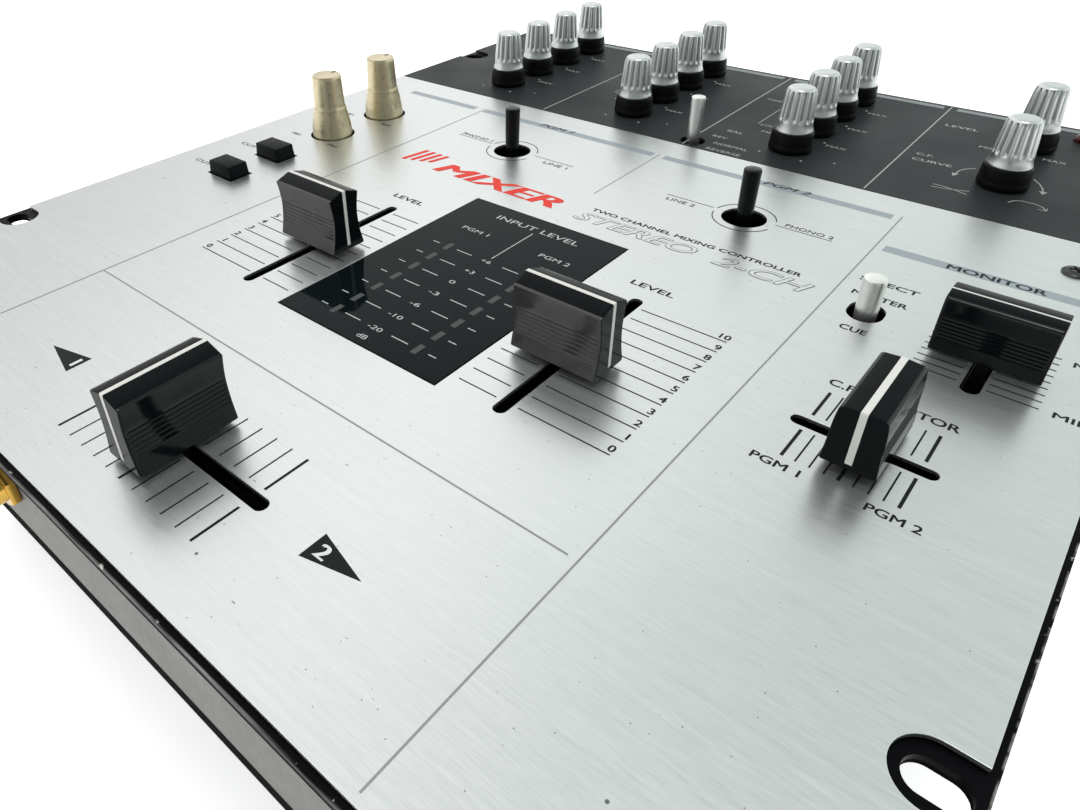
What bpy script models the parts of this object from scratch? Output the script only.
"""DJ mixer with two channels: folded tub, steel top plate, two panel sheets and working controls.

The frame has its origin under the middle of the top plate, on the surface that the feet stand on.
X runs to the right, Y to the rear and Z up. Every size is in metres.
"""
import math

import bmesh
import bpy
from mathutils import Matrix, Vector

MM = 0.001
GAP = 0.3 * MM

# Driving dimensions of the case
PLATE_WIDTH = 254 * MM
PLATE_DEPTH = 300.5 * MM
PLATE_THICKNESS = 2.0 * MM
PANEL_TOP = 85 * MM
SHEET_THICKNESS = 0.8 * MM
SHEET_MARGIN = 1.25 * MM
SHEET_JOINT_Y = 60.5 * MM
TUB_SIDE_INSET = 12 * MM
TUB_FRONT_INSET = 11.75 * MM
TUB_REAR_INSET = 7.25 * MM
TUB_WALL = 1.2 * MM
FOOT_HEIGHT = 8 * MM
FOOT_RADIUS = 8 * MM
FOOT_X = 96 * MM
FOOT_Y = 116 * MM

SHEET_BOTTOM = PANEL_TOP - SHEET_THICKNESS
PLATE_TOP = SHEET_BOTTOM - GAP
PLATE_BOTTOM = PLATE_TOP - PLATE_THICKNESS
UNDER_PLATE = PLATE_BOTTOM - GAP
TUB_X = PLATE_WIDTH / 2 - TUB_SIDE_INSET
TUB_FRONT = -PLATE_DEPTH / 2 + TUB_FRONT_INSET
TUB_REAR = PLATE_DEPTH / 2 - TUB_REAR_INSET
TUB_BOTTOM = FOOT_HEIGHT

# Rack slots near the four corners, each under a wider notch in the sheets
RACK_SLOT_X = 121.5 * MM
RACK_SLOT_Y = 101.3 * MM
RACK_SLOT_LENGTH = 8.2 * MM
RACK_SLOT_WIDTH = 5.4 * MM
NOTCH_INNER_X = 115.7 * MM
NOTCH_WIDTH = 10.4 * MM

# The programme controls are laid out about one line, a little left of the plate's middle
CENTRE_X = -0.9 * MM
CHANNEL_SPACING = 78.7 * MM
CHANNEL_X = (CENTRE_X - CHANNEL_SPACING / 2, CENTRE_X + CHANNEL_SPACING / 2)
LONG_TRAVEL = 45 * MM
SHORT_TRAVEL = 20 * MM

# Faders: slot centre, direction of travel, travel, slot length and width, where the cap stands
FADERS = {
    "crossfader": {"at": (CENTRE_X, -126.1 * MM), "along": "X", "travel": LONG_TRAVEL,
                   "slot": (51.6 * MM, 3.0 * MM), "rest": -0.6 * MM, "cap": "tall"},
    "level_fader_1": {"at": (CHANNEL_X[0], -56.1 * MM), "along": "Y", "travel": LONG_TRAVEL,
                      "slot": (52.2 * MM, 3.0 * MM), "rest": -0.7 * MM, "cap": "tall"},
    "level_fader_2": {"at": (CHANNEL_X[1], -56.1 * MM), "along": "Y", "travel": LONG_TRAVEL,
                      "slot": (52.2 * MM, 3.0 * MM), "rest": -3.3 * MM, "cap": "tall"},
    "monitor_fader": {"at": (103.9 * MM, -7.5 * MM), "along": "Y", "travel": SHORT_TRAVEL,
                      "slot": (26.2 * MM, 3.5 * MM), "rest": -0.7 * MM, "cap": "low"},
    "cue_fader": {"at": (94.0 * MM, -48.2 * MM), "along": "X", "travel": SHORT_TRAVEL,
                  "slot": (25.4 * MM, 2.8 * MM), "rest": 0.5 * MM, "cap": "low"},
}
# Caps: half widths at foot, waist and shoulder, their heights above the panel, ridge height, length
CAPS = {
    "tall": {"half": (5.1 * MM, 3.85 * MM, 4.55 * MM), "z": (1.5 * MM, 9.9 * MM, 15.9 * MM),
             "ridge": 17.2 * MM, "length": 20.3 * MM},
    "low": {"half": (4.5 * MM, 3.4 * MM, 3.8 * MM), "z": (2.0 * MM, 8.6 * MM, 13.5 * MM),
            "ridge": 14.2 * MM, "length": 19.6 * MM},
}
FADER_BODY_WIDTH = 10 * MM
FADER_BODY_HEIGHT = 14 * MM
FADER_BODY_EXTRA = 15 * MM
CHANNEL_WIDTH = 3.2 * MM
CHANNEL_DEPTH = 10 * MM
CARRIAGE_THICKNESS = 2.0 * MM
CARRIAGE_LENGTH = 8 * MM
CARRIAGE_HEIGHT = 6 * MM
LEVER_WIDTH = 3.6 * MM
LEVER_IN_CAP = 8 * MM

# Toggles: place, direction the lever throws, panel hole, lever radius and height above the panel
TOGGLES = {
    "input_toggle_1": {"at": (CHANNEL_X[0], 23.5 * MM), "throw": "X", "hole": (11.8 * MM, 11.8 * MM),
                       "radius": 2.3 * MM, "height": 14.0 * MM},
    "input_toggle_2": {"at": (CHANNEL_X[1], 23.5 * MM), "throw": "X", "hole": (11.8 * MM, 11.8 * MM),
                       "radius": 2.3 * MM, "height": 14.0 * MM},
    "select_toggle": {"at": (79.4 * MM, -3.6 * MM), "throw": "Y", "hole": (7.6 * MM, 9.2 * MM),
                      "radius": 2.5 * MM, "height": 8.7 * MM},
    "balance_toggle": {"at": (0.9 * MM, 66.0 * MM), "throw": "Y", "hole": (7.8 * MM, 7.8 * MM),
                       "radius": 2.2 * MM, "height": 14.5 * MM},
}
TOGGLE_PIVOT_DEPTH = 9 * MM
TOGGLE_NECK_RADIUS = 1.2 * MM
TOGGLE_NECK_TOP = 5 * MM
TOGGLE_NECK_BOTTOM = 12 * MM
TOGGLE_SWITCH_TOP = 6.5 * MM
TOGGLE_SWITCH_HEIGHT = 8 * MM
TOGGLE_SWITCH_SIZE = (13 * MM, 8 * MM)
TOGGLE_WELL_RADIUS = 2.3 * MM

# Left column: two push buttons and two champagne coloured knobs
LEFT_COLUMN_X = -98.9 * MM
BUTTON_Y = (-44.4 * MM, -26.3 * MM)
BUTTON_FOOT = (11.6 * MM, 7.5 * MM)
BUTTON_TOP = (10.4 * MM, 6.6 * MM)
BUTTON_HEIGHT = 4.0 * MM
BUTTON_SKIRT = 4.0 * MM
BUTTON_CLEARANCE = 0.35 * MM
BUTTON_SWITCH_DEPTH = 6.8 * MM
PLUNGER_RADIUS = 1.5 * MM
PLUNGER_BOTTOM = 9 * MM
LEFT_KNOB_Y = (-1.5 * MM, 23.4 * MM)
LEFT_KNOB_HOLE = 7.5 * MM
LEFT_BOARD_TOP = 13 * MM

# Silver knobs on the rear black sheet
KNOB_COLUMNS = {"a": -84.4 * MM, "b": -28.3 * MM, "c": 28.2 * MM}
KNOB_ROW_FIRST = 77.5 * MM
KNOB_ROW_STEP = 18.85 * MM
KNOB_ROWS = [KNOB_ROW_FIRST + KNOB_ROW_STEP * row for row in range(4)]
MASTER_KNOB_X = 85.3 * MM
MASTER_KNOBS = {"curve_knob": 86.5 * MM, "master_level_knob": 121.6 * MM}
SHAFT_RADIUS = 3.0 * MM
SHAFT_HOLE_RADIUS = 3.6 * MM
POT_BORE_RADIUS = 3.4 * MM
POT_SIZE = 11 * MM
POT_HEIGHT = 7 * MM
BOARD_THICKNESS = 1.6 * MM

# Meter window between the level faders
METER_WIDTH = 49.2 * MM
METER_FRONT_Y = -83.3 * MM
METER_REAR_Y = -11.1 * MM
METER_LEDGE = 2 * MM
METER_ROWS = 7
METER_ROW_FIRST = -76.5 * MM
METER_ROW_STEP = 6.37 * MM
METER_COLUMN_X = 12.8 * MM

POWER_LED = (96.4 * MM, 137.2 * MM)
POWER_LED_RADIUS = 2.2 * MM
PANEL_SCREW = (110.5 * MM, 43.2 * MM)

# Sockets in the walls of the tub
HEADPHONE_X = -83 * MM
HEADPHONE_Z = 33 * MM
HEADPHONE_BORE = 3.2 * MM
SOCKET_X_FIRST = -96 * MM
SOCKET_STEP = 18 * MM
SOCKET_COLUMNS = 6
SOCKET_Z = (36 * MM, 54 * MM)
SOCKET_RADIUS = 4.2 * MM
SOCKET_BORE = 1.7 * MM
SOCKET_REACH = 6.8 * MM
POWER_X = 78 * MM
POWER_SIZE = (30 * MM, 48 * MM)
POWER_Z = 44 * MM
ROCKER_Z = 56.5 * MM
ROCKER_SIZE = (12 * MM, 17 * MM)
ROCKER_TILT = 8
INLET_Z = 33.5 * MM
GROUND_POST = (40 * MM, 45 * MM)

ROUND_STEPS = 12


def clear_scene():
    for obj in list(bpy.data.objects):
        bpy.data.objects.remove(obj, do_unlink=True)


def make_collection(name):
    collection = bpy.data.collections.new(name)
    bpy.context.scene.collection.children.link(collection)
    return collection


def make_material(name, color, roughness, metallic=0.0):
    material = bpy.data.materials.new(name)
    material.use_nodes = True
    shader = material.node_tree.nodes["Principled BSDF"]
    shader.inputs["Base Color"].default_value = (*color, 1.0)
    shader.inputs["Roughness"].default_value = roughness
    shader.inputs["Metallic"].default_value = metallic
    return material


COLOURS = {
    "black_steel": ((0.015, 0.015, 0.017), 0.35, 0.0),
    "brushed_aluminium": ((0.74, 0.76, 0.75), 0.32, 1.0),
    "charcoal_sheet": ((0.06, 0.065, 0.065), 0.4, 0.0),
    "window": ((0.02, 0.024, 0.025), 0.08, 0.0),
    "grey_paint": ((0.34, 0.34, 0.33), 0.45, 0.0),
    "rubber": ((0.02, 0.02, 0.02), 0.8, 0.0),
    "black_plastic": ((0.012, 0.013, 0.014), 0.3, 0.0),
    "switch_metal": ((0.6, 0.6, 0.58), 0.35, 1.0),
    "silver_knob": ((0.7, 0.71, 0.7), 0.28, 1.0),
    "champagne": ((0.5, 0.46, 0.35), 0.35, 0.8),
    "circuit_board": ((0.04, 0.13, 0.06), 0.5, 0.0),
    "gold": ((0.8, 0.55, 0.15), 0.25, 1.0),
}


def use_material(obj, name):
    if name not in bpy.data.materials:
        make_material(name, *COLOURS[name])
    obj.data.materials.append(bpy.data.materials[name])


def place(obj, material=None):
    """Put an object in the mixer's collection, or in the cutters' if it has no material."""
    if material:
        bpy.data.collections["dj_mixer"].objects.link(obj)
        use_material(obj, material)
        return obj
    bpy.data.collections["cutters"].objects.link(obj)
    obj.hide_render = True
    obj.display_type = "WIRE"
    return obj


def new_object(name, mesh, material=None):
    return place(bpy.data.objects.new(name, mesh), material)


def boxes(name, spans, material=None):
    """One object made of axis-aligned boxes, each given by its low and high corner."""
    bm = bmesh.new()
    for low, high in spans:
        low, high = Vector(low), Vector(high)
        scale = Matrix.Diagonal((*(high - low), 1.0))
        bmesh.ops.create_cube(bm, size=1.0, matrix=Matrix.Translation((low + high) / 2) @ scale)
    mesh = bpy.data.meshes.new(name)
    bm.to_mesh(mesh)
    bm.free()
    return new_object(name, mesh, material)


AXIS_TURN = {"Z": Matrix(), "Y": Matrix.Rotation(math.radians(90), 4, "X"),
             "X": Matrix.Rotation(math.radians(90), 4, "Y")}


def cylinders(name, rods, axis="Z", steps=ROUND_STEPS, material=None):
    """One object made of rods along an axis, each given by its middle, radius and length."""
    bm = bmesh.new()
    for middle, radius, length in rods:
        bmesh.ops.create_cone(bm, cap_ends=True, segments=steps, radius1=radius, radius2=radius,
                              depth=length, matrix=Matrix.Translation(middle) @ AXIS_TURN[axis])
    mesh = bpy.data.meshes.new(name)
    bm.to_mesh(mesh)
    bm.free()
    return new_object(name, mesh, material)


def boolean(obj, other, operation):
    modifier = obj.modifiers.new(operation.lower(), "BOOLEAN")
    modifier.operation = operation
    modifier.object = other


def turned(name, profile, material, at=(0, 0, 0), steps=ROUND_STEPS):
    """A turned solid about Z: the profile of (radius, height) runs down its outer side."""
    mesh = bpy.data.meshes.new(name)
    points = [(radius, 0, height) for radius, height in profile]
    mesh.from_pydata(points, [(i, i + 1) for i in range(len(points) - 1)], [])
    obj = new_object(name, mesh, material)
    obj.location = at
    screw = obj.modifiers.new("turn", "SCREW")
    screw.steps = steps
    screw.render_steps = steps
    screw.use_merge_vertices = True
    screw.merge_threshold = 0.00001
    return obj


def arc(middle, radius, start, end, steps):
    """Points on an arc in the plane, from one angle to the other in degrees."""
    turns = [math.radians(start + (end - start) * i / steps) for i in range(steps + 1)]
    return [(middle[0] + radius * math.cos(t), middle[1] + radius * math.sin(t)) for t in turns]


def circle(middle, radius, steps=ROUND_STEPS):
    return arc(middle, radius, 0, 360, steps)[:-1]


def oblong(middle, size):
    """A round-ended slot outline whose size is given along X and Y."""
    radius = min(size) / 2
    half_x = size[0] / 2 - radius
    half_y = size[1] / 2 - radius
    if half_x + half_y < 0.05 * MM:
        return circle(middle, radius)
    turn = 0 if half_y > half_x else -90
    first = (middle[0] + half_x, middle[1] + half_y)
    second = (middle[0] - half_x, middle[1] - half_y)
    return arc(first, radius, turn, turn + 180, 6) + arc(second, radius, turn + 180, turn + 360, 6)


def rectangle(middle, size):
    half_x, half_y = size[0] / 2, size[1] / 2
    return [(middle[0] + sx * half_x, middle[1] + sy * half_y)
            for sx, sy in ((-1, -1), (1, -1), (1, 1), (-1, 1))]


def flat_piece(name, loops, low, thickness, material):
    """A sheet from an outline and its holes, standing from a height upwards."""
    curve = bpy.data.curves.new(name, "CURVE")
    curve.dimensions = "2D"
    curve.fill_mode = "BOTH"
    curve.extrude = thickness / 2
    for loop in loops:
        spline = curve.splines.new("POLY")
        spline.points.add(len(loop) - 1)
        for point, (x, y) in zip(spline.points, loop):
            point.co = (x, y, 0, 1)
        spline.use_cyclic_u = True
    obj = place(bpy.data.objects.new(name, curve), material)
    obj.location.z = low + thickness / 2
    weld = obj.modifiers.new("weld", "WELD")
    weld.merge_threshold = 0.00001
    return obj


def as_mesh(curve):
    """Turn a filled curve into a mesh that can be cut, with its caps welded to its sides."""
    graph = bpy.context.evaluated_depsgraph_get()
    mesh = bpy.data.meshes.new_from_object(curve.evaluated_get(graph))
    bm = bmesh.new()
    bm.from_mesh(mesh)
    bmesh.ops.remove_doubles(bm, verts=bm.verts, dist=0.00001)
    bm.to_mesh(mesh)
    bm.free()
    name = curve.name
    matrix = curve.matrix_world.copy()
    bpy.data.objects.remove(curve)
    obj = bpy.data.objects.new(name, mesh)
    bpy.data.collections["dj_mixer"].objects.link(obj)
    obj.matrix_world = matrix
    return obj


def along(name, length, width):
    """Sizes along X and Y of something long in the direction of a fader's travel."""
    return (length, width) if FADERS[name]["along"] == "X" else (width, length)


def knob_places():
    places = {}
    for letter, x in KNOB_COLUMNS.items():
        for row, y in enumerate(KNOB_ROWS):
            places[f"eq_knob_{letter}{row + 1}"] = (x, y)
    for name, y in MASTER_KNOBS.items():
        places[name] = (MASTER_KNOB_X, y)
    return places


def fader_slots():
    return [oblong(fader["at"], along(name, *fader["slot"])) for name, fader in FADERS.items()]


def meter_opening(grow):
    middle = (CENTRE_X, (METER_FRONT_Y + METER_REAR_Y) / 2)
    return rectangle(middle, (METER_WIDTH + 2 * grow, METER_REAR_Y - METER_FRONT_Y + 2 * grow))


def front_controls_openings():
    """Openings that the silver sheet and the plate under it share."""
    loops = fader_slots()
    for name, toggle in TOGGLES.items():
        if name != "balance_toggle":
            loops.append(oblong(toggle["at"], toggle["hole"]))
    for y in LEFT_KNOB_Y:
        loops.append(circle((LEFT_COLUMN_X, y), LEFT_KNOB_HOLE, 16))
    for y in BUTTON_Y:
        size = (BUTTON_FOOT[0] + 2 * BUTTON_CLEARANCE, BUTTON_FOOT[1] + 2 * BUTTON_CLEARANCE)
        loops.append(rectangle((LEFT_COLUMN_X, y), size))
    loops.append(circle(PANEL_SCREW, 1.9 * MM, 8))
    return loops


def rear_controls_openings():
    """Openings that the black sheet and the plate under it share."""
    loops = [circle(place_xy, SHAFT_HOLE_RADIUS, 8) for place_xy in knob_places().values()]
    toggle = TOGGLES["balance_toggle"]
    loops.append(oblong(toggle["at"], toggle["hole"]))
    loops.append(circle(POWER_LED, POWER_LED_RADIUS + GAP, 8))
    return loops


def notched_outline(front, rear, notch_y):
    """A sheet's outline with an open round-ended notch in its left and right edges."""
    half = PLATE_WIDTH / 2 - SHEET_MARGIN
    radius = NOTCH_WIDTH / 2
    middle = NOTCH_INNER_X + radius
    right = arc((middle, notch_y), radius, 270, 90, 6)
    left = arc((-middle, notch_y), radius, 90, -90, 6)
    return ([(-half, front), (half, front), (half, notch_y - radius)] + right
            + [(half, notch_y + radius), (half, rear), (-half, rear), (-half, notch_y + radius)]
            + left + [(-half, notch_y - radius)])


def base_plate():
    loops = [rectangle((0, 0), (PLATE_WIDTH, PLATE_DEPTH))]
    for sx in (-1, 1):
        for sy in (-1, 1):
            loops.append(oblong((sx * RACK_SLOT_X, sy * RACK_SLOT_Y),
                                (RACK_SLOT_LENGTH, RACK_SLOT_WIDTH)))
    loops += front_controls_openings() + rear_controls_openings()
    loops.append(meter_opening(-METER_LEDGE))
    flat_piece("base_plate", loops, PLATE_BOTTOM, PLATE_THICKNESS, "black_steel")


def panel_sheets():
    front = -PLATE_DEPTH / 2 + SHEET_MARGIN
    rear = PLATE_DEPTH / 2 - SHEET_MARGIN
    silver = [notched_outline(front, SHEET_JOINT_Y, -RACK_SLOT_Y), meter_opening(GAP)]
    silver += front_controls_openings()
    flat_piece("silver_sheet", silver, SHEET_BOTTOM, SHEET_THICKNESS, "brushed_aluminium")
    black = [notched_outline(SHEET_JOINT_Y + GAP, rear, RACK_SLOT_Y)] + rear_controls_openings()
    flat_piece("black_sheet", black, SHEET_BOTTOM, SHEET_THICKNESS, "charcoal_sheet")


def meter():
    flat_piece("meter_window", [meter_opening(0)], SHEET_BOTTOM, SHEET_THICKNESS, "window")
    board_low = PANEL_TOP - 9 * MM
    board = boxes("meter_board", [((CENTRE_X - 23 * MM, -82 * MM, board_low),
                                   (CENTRE_X + 23 * MM, -12 * MM, board_low + BOARD_THICKNESS))],
                  "circuit_board")
    lamps = []
    for side in (-1, 1):
        for row in range(METER_ROWS):
            x = CENTRE_X + side * METER_COLUMN_X
            y = METER_ROW_FIRST + METER_ROW_STEP * row
            lamps.append(((x - 0.9 * MM, y - 2 * MM, board_low + 0.5 * MM),
                          (x + 0.9 * MM, y + 2 * MM, SHEET_BOTTOM - GAP)))
    boolean(board, boxes("meter_lamps", lamps), "UNION")


def chassis_tub():
    """Folded steel tub, open at the top, with holes for its sockets."""
    bm = bmesh.new()
    size = Vector((2 * TUB_X, TUB_REAR - TUB_FRONT, UNDER_PLATE - TUB_BOTTOM))
    middle = Vector((0, (TUB_REAR + TUB_FRONT) / 2, (UNDER_PLATE + TUB_BOTTOM) / 2))
    bmesh.ops.create_cube(bm, size=1.0, matrix=Matrix.Translation(middle)
                          @ Matrix.Diagonal((*size, 1.0)))
    top = max(bm.faces, key=lambda face: face.calc_center_median().z)
    bmesh.ops.delete(bm, geom=[top], context="FACES_ONLY")
    mesh = bpy.data.meshes.new("chassis_tub")
    bm.to_mesh(mesh)
    bm.free()
    tub = new_object("chassis_tub", mesh, "grey_paint")
    shell = tub.modifiers.new("wall", "SOLIDIFY")
    shell.thickness = TUB_WALL
    shell.offset = -1
    shell.use_even_offset = True
    depth = 4 * TUB_WALL
    rods = [((x, TUB_REAR, z), SOCKET_RADIUS + 2 * GAP, depth) for x, z in socket_places()]
    rods.append(((HEADPHONE_X, TUB_FRONT, HEADPHONE_Z), 5.4 * MM, depth))
    rods.append(((GROUND_POST[0], TUB_REAR, GROUND_POST[1]), 2.4 * MM, depth))
    boolean(tub, cylinders("wall_holes", rods, "Y", 10), "DIFFERENCE")
    half_x, half_z = POWER_SIZE[0] / 2 + GAP, POWER_SIZE[1] / 2 + GAP
    opening = boxes("power_opening", [((POWER_X - half_x, TUB_REAR - depth, POWER_Z - half_z),
                                       (POWER_X + half_x, TUB_REAR + depth, POWER_Z + half_z))])
    boolean(tub, opening, "DIFFERENCE")


def feet():
    top = FOOT_HEIGHT - GAP
    profile = [(0, top), (FOOT_RADIUS, top), (FOOT_RADIUS, top - 2 * MM),
               (FOOT_RADIUS - 1.5 * MM, 0), (0, 0)]
    for row, sy in (("front", -1), ("rear", 1)):
        for side, sx in (("left", -1), ("right", 1)):
            turned(f"foot_{row}_{side}", profile, "rubber", (sx * FOOT_X, sy * FOOT_Y, 0))


def fader_body(name, fader):
    """Steel fader case under the plate, with the channel that its carriage runs in."""
    x, y = fader["at"]
    length = fader["travel"] + FADER_BODY_EXTRA
    size_x, size_y = along(name, length, FADER_BODY_WIDTH)
    body = boxes(f"{name}_body", [((x - size_x / 2, y - size_y / 2, UNDER_PLATE - FADER_BODY_HEIGHT),
                                   (x + size_x / 2, y + size_y / 2, UNDER_PLATE))], "switch_metal")
    inner = fader["travel"] + CARRIAGE_LENGTH + 3 * MM
    cut_x, cut_y = along(name, inner, CHANNEL_WIDTH)
    channel = boxes(f"{name}_channel", [((x - cut_x / 2, y - cut_y / 2, UNDER_PLATE - CHANNEL_DEPTH),
                                         (x + cut_x / 2, y + cut_y / 2, PANEL_TOP))])
    boolean(body, channel, "DIFFERENCE")


def upright(obj, name, at):
    """Stand a flat piece on its edge: its outline's X runs along the travel, its Y runs up."""
    turn = Matrix.Rotation(math.radians(90), 4, "X")
    if FADERS[name]["along"] == "Y":
        turn = Matrix.Rotation(math.radians(90), 4, "Z") @ turn
    obj.matrix_world = Matrix.Translation((*at, PANEL_TOP)) @ turn


def fader_carriage(name, fader, at):
    """Sliding block and the lever blade that carries the cap, as one moulding."""
    low = UNDER_PLATE - CHANNEL_DEPTH + 1 * MM - PANEL_TOP
    half_block, half_lever = CARRIAGE_LENGTH / 2, LEVER_WIDTH / 2
    step = low + CARRIAGE_HEIGHT
    top = CAPS[fader["cap"]]["z"][0] + LEVER_IN_CAP
    outline = [(-half_block, low), (half_block, low), (half_block, step), (half_lever, step),
               (half_lever, top), (-half_lever, top), (-half_lever, step), (-half_block, step)]
    upright(flat_piece(f"{name}_carriage", [outline], 0, CARRIAGE_THICKNESS, "black_plastic"),
            name, at)


def fader_cap(name, fader, at):
    """Cap with a waisted end profile and a low roof, and a socket under it for the lever blade."""
    cap = CAPS[fader["cap"]]
    right = list(zip(cap["half"], cap["z"]))
    outline = right + [(0, cap["ridge"])] + [(-half, z) for half, z in reversed(right)]
    curve = flat_piece(f"{name}_cap", [outline], 0, cap["length"], "black_plastic")
    upright(curve, name, at)
    obj = as_mesh(curve)
    socket_x, socket_y = along(name, LEVER_WIDTH + 2 * GAP, CARRIAGE_THICKNESS + 2 * GAP)
    high = PANEL_TOP + cap["z"][0] + LEVER_IN_CAP + GAP
    socket = boxes(f"{name}_socket", [((at[0] - socket_x / 2, at[1] - socket_y / 2, PANEL_TOP),
                                       (at[0] + socket_x / 2, at[1] + socket_y / 2, high))])
    boolean(obj, socket, "DIFFERENCE")


def faders():
    for name, fader in FADERS.items():
        x, y = fader["at"]
        at = (x + fader["rest"], y) if fader["along"] == "X" else (x, y + fader["rest"])
        fader_body(name, fader)
        fader_carriage(name, fader, at)
        fader_cap(name, fader, at)


def toggles():
    """Each toggle is a switch case with a well, and a lever whose pivot is its object's origin."""
    pivot = PANEL_TOP - TOGGLE_PIVOT_DEPTH
    for name, toggle in TOGGLES.items():
        x, y = toggle["at"]
        size = TOGGLE_SWITCH_SIZE if toggle["throw"] == "X" else TOGGLE_SWITCH_SIZE[::-1]
        top = PANEL_TOP - TOGGLE_SWITCH_TOP
        case = boxes(f"{name}_switch",
                     [((x - size[0] / 2, y - size[1] / 2, top - TOGGLE_SWITCH_HEIGHT),
                       (x + size[0] / 2, y + size[1] / 2, top))], "switch_metal")
        well = cylinders(f"{name}_well", [((x, y, top), TOGGLE_WELL_RADIUS,
                                           2 * (TOGGLE_SWITCH_HEIGHT - 1.5 * MM))])
        boolean(case, well, "DIFFERENCE")
        radius = toggle["radius"]
        tip = toggle["height"] + TOGGLE_PIVOT_DEPTH
        neck_top = TOGGLE_PIVOT_DEPTH - TOGGLE_NECK_TOP
        neck_low = TOGGLE_PIVOT_DEPTH - TOGGLE_NECK_BOTTOM
        profile = [(0, tip), (radius - 0.4 * MM, tip), (radius, tip - 0.5 * MM),
                   (radius * 0.88, neck_top + 1 * MM), (TOGGLE_NECK_RADIUS, neck_top),
                   (TOGGLE_NECK_RADIUS, neck_low), (0, neck_low)]
        material = "black_plastic" if name.startswith("input") else "switch_metal"
        turned(f"{name}_lever", profile, material, (x, y, pivot))


def push_buttons():
    """Tapered caps that slide down through the panel, each on a round plunger."""
    for number, y in enumerate(BUTTON_Y):
        bm = bmesh.new()
        bmesh.ops.create_cube(bm, size=1.0)
        low = -BUTTON_SKIRT
        for vert in bm.verts:
            size = BUTTON_TOP if vert.co.z > 0 else BUTTON_FOOT
            vert.co = (2 * vert.co.x * size[0] / 2, 2 * vert.co.y * size[1] / 2,
                       BUTTON_HEIGHT if vert.co.z > 0 else low)
        mesh = bpy.data.meshes.new("push_button")
        bm.to_mesh(mesh)
        bm.free()
        button = new_object(f"push_button_{number + 1}", mesh, "black_plastic")
        button.location = (LEFT_COLUMN_X, y, PANEL_TOP)
        length = PLUNGER_BOTTOM - BUTTON_SKIRT + 2 * MM
        middle = (LEFT_COLUMN_X, y, PANEL_TOP - PLUNGER_BOTTOM + length / 2)
        plunger = cylinders(f"plunger_{number + 1}", [(middle, PLUNGER_RADIUS, length)], steps=8)
        boolean(button, plunger, "UNION")


def left_control_board():
    """Board under the left column, carrying two push switches and two potentiometers."""
    x = LEFT_COLUMN_X
    top = PANEL_TOP - LEFT_BOARD_TOP
    board = boxes("left_control_board", [((x - 9 * MM, BUTTON_Y[0] - 9 * MM, top - BOARD_THICKNESS),
                                          (x + 12 * MM, LEFT_KNOB_Y[1] + 9 * MM, top))],
                  "circuit_board")
    cases = []
    wells = []
    switch_top = PANEL_TOP - BUTTON_SWITCH_DEPTH
    for y in BUTTON_Y:
        cases.append(((x - 4 * MM, y - 4 * MM, top - 1 * MM), (x + 4 * MM, y + 4 * MM, switch_top)))
        wells.append(((x, y, switch_top), PLUNGER_RADIUS + 0.5 * MM, 10 * MM))
    for y in LEFT_KNOB_Y:
        cases.append(((x - POT_SIZE / 2, y - POT_SIZE / 2, top - 1 * MM),
                      (x + POT_SIZE / 2, y + POT_SIZE / 2, PANEL_TOP - 5.5 * MM)))
        wells.append(((x, y, PANEL_TOP - 5.5 * MM), POT_BORE_RADIUS, 12 * MM))
    boolean(board, boxes("left_cases", cases), "UNION")
    boolean(board, cylinders("left_wells", wells), "DIFFERENCE")


def left_knobs():
    """Champagne knobs that taper from a flared foot, past a raised ring, to a flat top."""
    profile = [(0, 20.3), (4.4, 20.3), (4.85, 19.7), (5.3, 9.3), (5.55, 8.8), (6.2, 6.4),
               (6.75, 0.2), (6.75, -2.0), (3.0, -2.0), (3.0, -9.5), (0, -9.5)]
    profile = [(radius * MM, height * MM) for radius, height in profile]
    for name, y in zip(("left_knob_front", "left_knob_rear"), LEFT_KNOB_Y):
        turned(name, profile, "champagne", (LEFT_COLUMN_X, y, PANEL_TOP))


def silver_knobs():
    """Knobs with a dark skirt, a bright collar and a tapered grip, each on its own shaft."""
    profile = [(0, 20.2), (3.9, 20.2), (4.5, 18.9), (5.4, 8.6), (5.75, 7.0), (6.2, 6.3),
               (6.55, 0.3), (3.0, 0.3), (3.0, -8.5), (0, -8.5)]
    profile = [(radius * MM, height * MM) for radius, height in profile]
    for name, (x, y) in knob_places().items():
        turned(name, profile, "silver_knob", (x, y, PANEL_TOP))


def eq_board():
    """Board under the black sheet with a potentiometer for every silver knob, and the lamp."""
    pot_low = UNDER_PLATE - POT_HEIGHT
    board = boxes("eq_board", [((-92 * MM, 62 * MM, pot_low - BOARD_THICKNESS),
                                (102 * MM, 140 * MM, pot_low))], "circuit_board")
    half = POT_SIZE / 2
    cases = [((x - half, y - half, pot_low - 0.8 * MM), (x + half, y + half, UNDER_PLATE))
             for x, y in knob_places().values()]
    boolean(board, boxes("eq_pots", cases), "UNION")
    lamp_top = PANEL_TOP + 1.2 * MM
    lamp_low = pot_low - 0.8 * MM
    lamp = [((*POWER_LED, (lamp_top + lamp_low) / 2), POWER_LED_RADIUS, lamp_top - lamp_low)]
    stand = cylinders("lamp_stand", lamp)
    boolean(board, stand, "UNION")
    wells = [((x, y, UNDER_PLATE), POT_BORE_RADIUS, 2 * (POT_HEIGHT - 0.8 * MM))
             for x, y in knob_places().values()]
    boolean(board, cylinders("eq_wells", wells), "DIFFERENCE")
    x, y = TOGGLES["balance_toggle"]["at"]
    notch = boxes("board_notch", [((x - 8 * MM, 50 * MM, pot_low - 5 * MM),
                                   (x + 8 * MM, y + 10 * MM, pot_low + 5 * MM))])
    boolean(board, notch, "DIFFERENCE")


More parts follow.
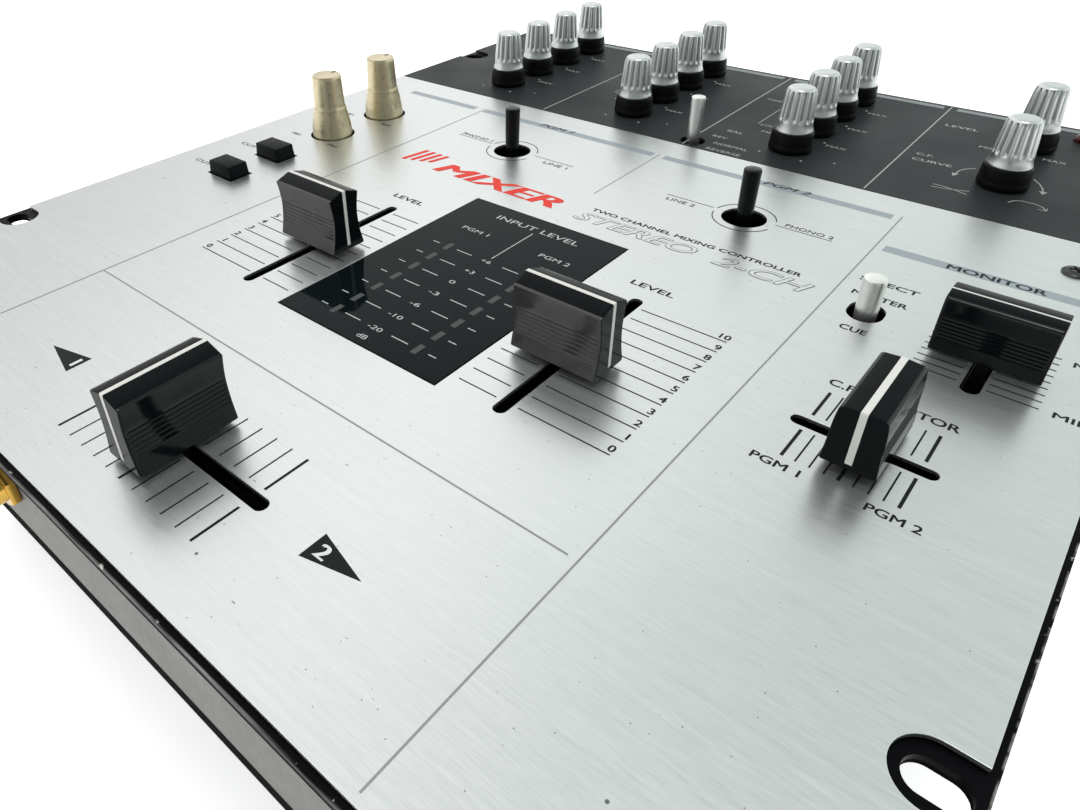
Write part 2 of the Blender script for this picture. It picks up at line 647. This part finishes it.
def panel_screw():
    """Cross-head screw that holds the plate, with its driver slot cut in the head."""
    profile = [(0, 0.5), (1.6, 0.5), (2.9, 0.2), (2.9, 0.05), (1.5, 0.05), (1.5, -9), (0, -9)]
    profile = [(radius * MM, (height + 0.3) * MM) for radius, height in profile]
    screw = turned("panel_screw", profile, "black_steel", (*PANEL_SCREW, PANEL_TOP))
    x, y = PANEL_SCREW
    low = PANEL_TOP + 0.2 * MM
    cross = boxes("screw_cross", [((x - 1.2 * MM, y - 0.25 * MM, low), (x + 1.2 * MM, y + 0.25 * MM,
                                                                       low + 2 * MM))])
    boolean(screw, cross, "DIFFERENCE")


def headphone_jack():
    """Quarter-inch socket: case behind the front wall, threaded neck and nut in front of it."""
    wall = TUB_FRONT
    x, z = HEADPHONE_X, HEADPHONE_Z
    jack = boxes("headphone_jack", [((x - 7.5 * MM, wall + TUB_WALL + GAP, z - 7.5 * MM),
                                     (x + 7.5 * MM, wall + 29 * MM, z + 7.5 * MM))], "gold")
    neck = cylinders("jack_neck", [((x, wall - 1 * MM, z), 4.8 * MM, 10 * MM)], "Y")
    nut = cylinders("jack_nut", [((x, wall - GAP - 1.25 * MM, z), 7 * MM, 2.5 * MM)], "Y", 6)
    bore = cylinders("jack_bore", [((x, wall, z), HEADPHONE_BORE, 50 * MM)], "Y")
    boolean(jack, neck, "UNION")
    boolean(jack, nut, "UNION")
    boolean(jack, bore, "DIFFERENCE")


def socket_places():
    columns = [SOCKET_X_FIRST + SOCKET_STEP * i for i in range(SOCKET_COLUMNS)]
    return [(x, z) for x in columns for z in SOCKET_Z]


def rear_jack_board():
    """Board and insulating block behind the rear wall, with twelve phono sockets through it."""
    inner = TUB_REAR - TUB_WALL - GAP
    low_x = SOCKET_X_FIRST - 8 * MM
    high_x = SOCKET_X_FIRST + SOCKET_STEP * (SOCKET_COLUMNS - 1) + 8 * MM
    board = boxes("rear_jack_board", [((low_x, inner - 9 * MM, SOCKET_Z[0] - 9 * MM),
                                       (high_x, inner, SOCKET_Z[1] + 9 * MM))], "black_plastic")
    mouth = TUB_REAR + SOCKET_REACH
    root = inner - 1 * MM
    sockets = [((x, (root + mouth) / 2, z), SOCKET_RADIUS, mouth - root)
               for x, z in socket_places()]
    boolean(board, cylinders("sockets", sockets, "Y", 10), "UNION")
    bores = [((x, mouth, z), SOCKET_BORE, 18 * MM) for x, z in socket_places()]
    boolean(board, cylinders("socket_bores", bores, "Y", 6), "DIFFERENCE")


def power_module():
    """Flanged housing in the rear wall with a mains inlet below and a rocker switch above."""
    half_x, half_z = POWER_SIZE[0] / 2, POWER_SIZE[1] / 2
    body = boxes("power_inlet", [((POWER_X - half_x, TUB_REAR - 20 * MM, POWER_Z - half_z),
                                  (POWER_X + half_x, TUB_REAR + 1 * MM, POWER_Z + half_z))],
                 "black_plastic")
    edge = 2 * MM
    flange = boxes("power_flange", [((POWER_X - half_x - edge, TUB_REAR + GAP, POWER_Z - half_z - edge),
                                     (POWER_X + half_x + edge, TUB_REAR + 2 * MM,
                                      POWER_Z + half_z + edge))])
    boolean(body, flange, "UNION")
    wells = boxes("power_wells", [
        ((POWER_X - 12 * MM, TUB_REAR - 15 * MM, INLET_Z - 8 * MM),
         (POWER_X + 12 * MM, TUB_REAR + 5 * MM, INLET_Z + 8 * MM)),
        ((POWER_X - ROCKER_SIZE[0] / 2 - 2 * GAP, TUB_REAR - 12 * MM, ROCKER_Z - ROCKER_SIZE[1] / 2 - GAP),
         (POWER_X + ROCKER_SIZE[0] / 2 + 2 * GAP, TUB_REAR + 5 * MM, ROCKER_Z + ROCKER_SIZE[1] / 2 + GAP))])
    boolean(body, wells, "DIFFERENCE")
    pins = [((POWER_X + x - 1 * MM, TUB_REAR - 16 * MM, INLET_Z + z - 2 * MM),
             (POWER_X + x + 1 * MM, TUB_REAR - 5 * MM, INLET_Z + z + 2 * MM))
            for x, z in ((-7 * MM, -2 * MM), (0, 2 * MM), (7 * MM, -2 * MM))]
    boolean(body, boxes("inlet_pins", pins), "UNION")
    power_rocker()


def power_rocker():
    """Rocker whose origin is its pivot, with a shallow V for a face."""
    half = ROCKER_SIZE[1] / 2 - 0.8 * MM
    outline = [(-half, 4.2 * MM), (0, 2.6 * MM), (half, 4.2 * MM), (half - 0.8 * MM, -2 * MM),
               (3 * MM, -6 * MM), (-3 * MM, -6 * MM), (-half + 0.8 * MM, -2 * MM)]
    rocker = flat_piece("power_rocker", [outline], 0, ROCKER_SIZE[0], "black_plastic")
    pivot = Matrix.Translation((POWER_X, TUB_REAR - 1 * MM, ROCKER_Z))
    tilt = Matrix.Rotation(math.radians(ROCKER_TILT), 4, "X")
    rocker.matrix_world = pivot @ tilt @ AXIS_TURN["X"]


def ground_terminal():
    """Threaded earth post through the rear wall with a thumb nut on it."""
    profile = [(0, 7.0), (2, 7.0), (2, 6.2), (4.2, 6.2), (4.2, 0.3), (2, 0.3), (2, -1.6),
               (3.5, -1.6), (3.5, -5), (0, -5)]
    profile = [(radius * MM, height * MM) for radius, height in profile]
    post = turned("ground_terminal", profile, "switch_metal")
    post.matrix_world = (Matrix.Translation((GROUND_POST[0], TUB_REAR, GROUND_POST[1]))
                         @ Matrix.Rotation(math.radians(-90), 4, "X"))


def main_board():
    """Main circuit board on the tub's floor with its transformer, capacitors and spacers."""
    low = TUB_BOTTOM + TUB_WALL + GAP
    board_low = low + 6 * MM
    board = boxes("main_board", [((-100 * MM, -105 * MM, board_low),
                                  (100 * MM, 115 * MM, board_low + BOARD_THICKNESS))],
                  "circuit_board")
    top = board_low + BOARD_THICKNESS - 0.5 * MM
    blocks = [((42 * MM, 45 * MM, top), (96 * MM, 90 * MM, top + 36 * MM)),
              ((-60 * MM, -40 * MM, top), (-30 * MM, -32 * MM, top + 8 * MM)),
              ((10 * MM, -40 * MM, top), (40 * MM, -32 * MM, top + 8 * MM))]
    boolean(board, boxes("board_blocks", blocks), "UNION")
    rods = [((x, 70 * MM, top + 12 * MM), 6 * MM, 24 * MM) for x in (10 * MM, 26 * MM)]
    rods += [((sx * 92 * MM, y, low + 3.5 * MM), 3 * MM, 7 * MM)
             for sx in (-1, 1) for y in (-96 * MM, 106 * MM)]
    boolean(board, cylinders("board_rods", rods, steps=10), "UNION")


def main():
    clear_scene()
    make_collection("dj_mixer")
    make_collection("cutters")
    base_plate()
    panel_sheets()
    meter()
    chassis_tub()
    feet()
    faders()
    toggles()
    push_buttons()
    left_control_board()
    left_knobs()
    silver_knobs()
    eq_board()
    panel_screw()
    headphone_jack()
    rear_jack_board()
    power_module()
    ground_terminal()
    main_board()


main()
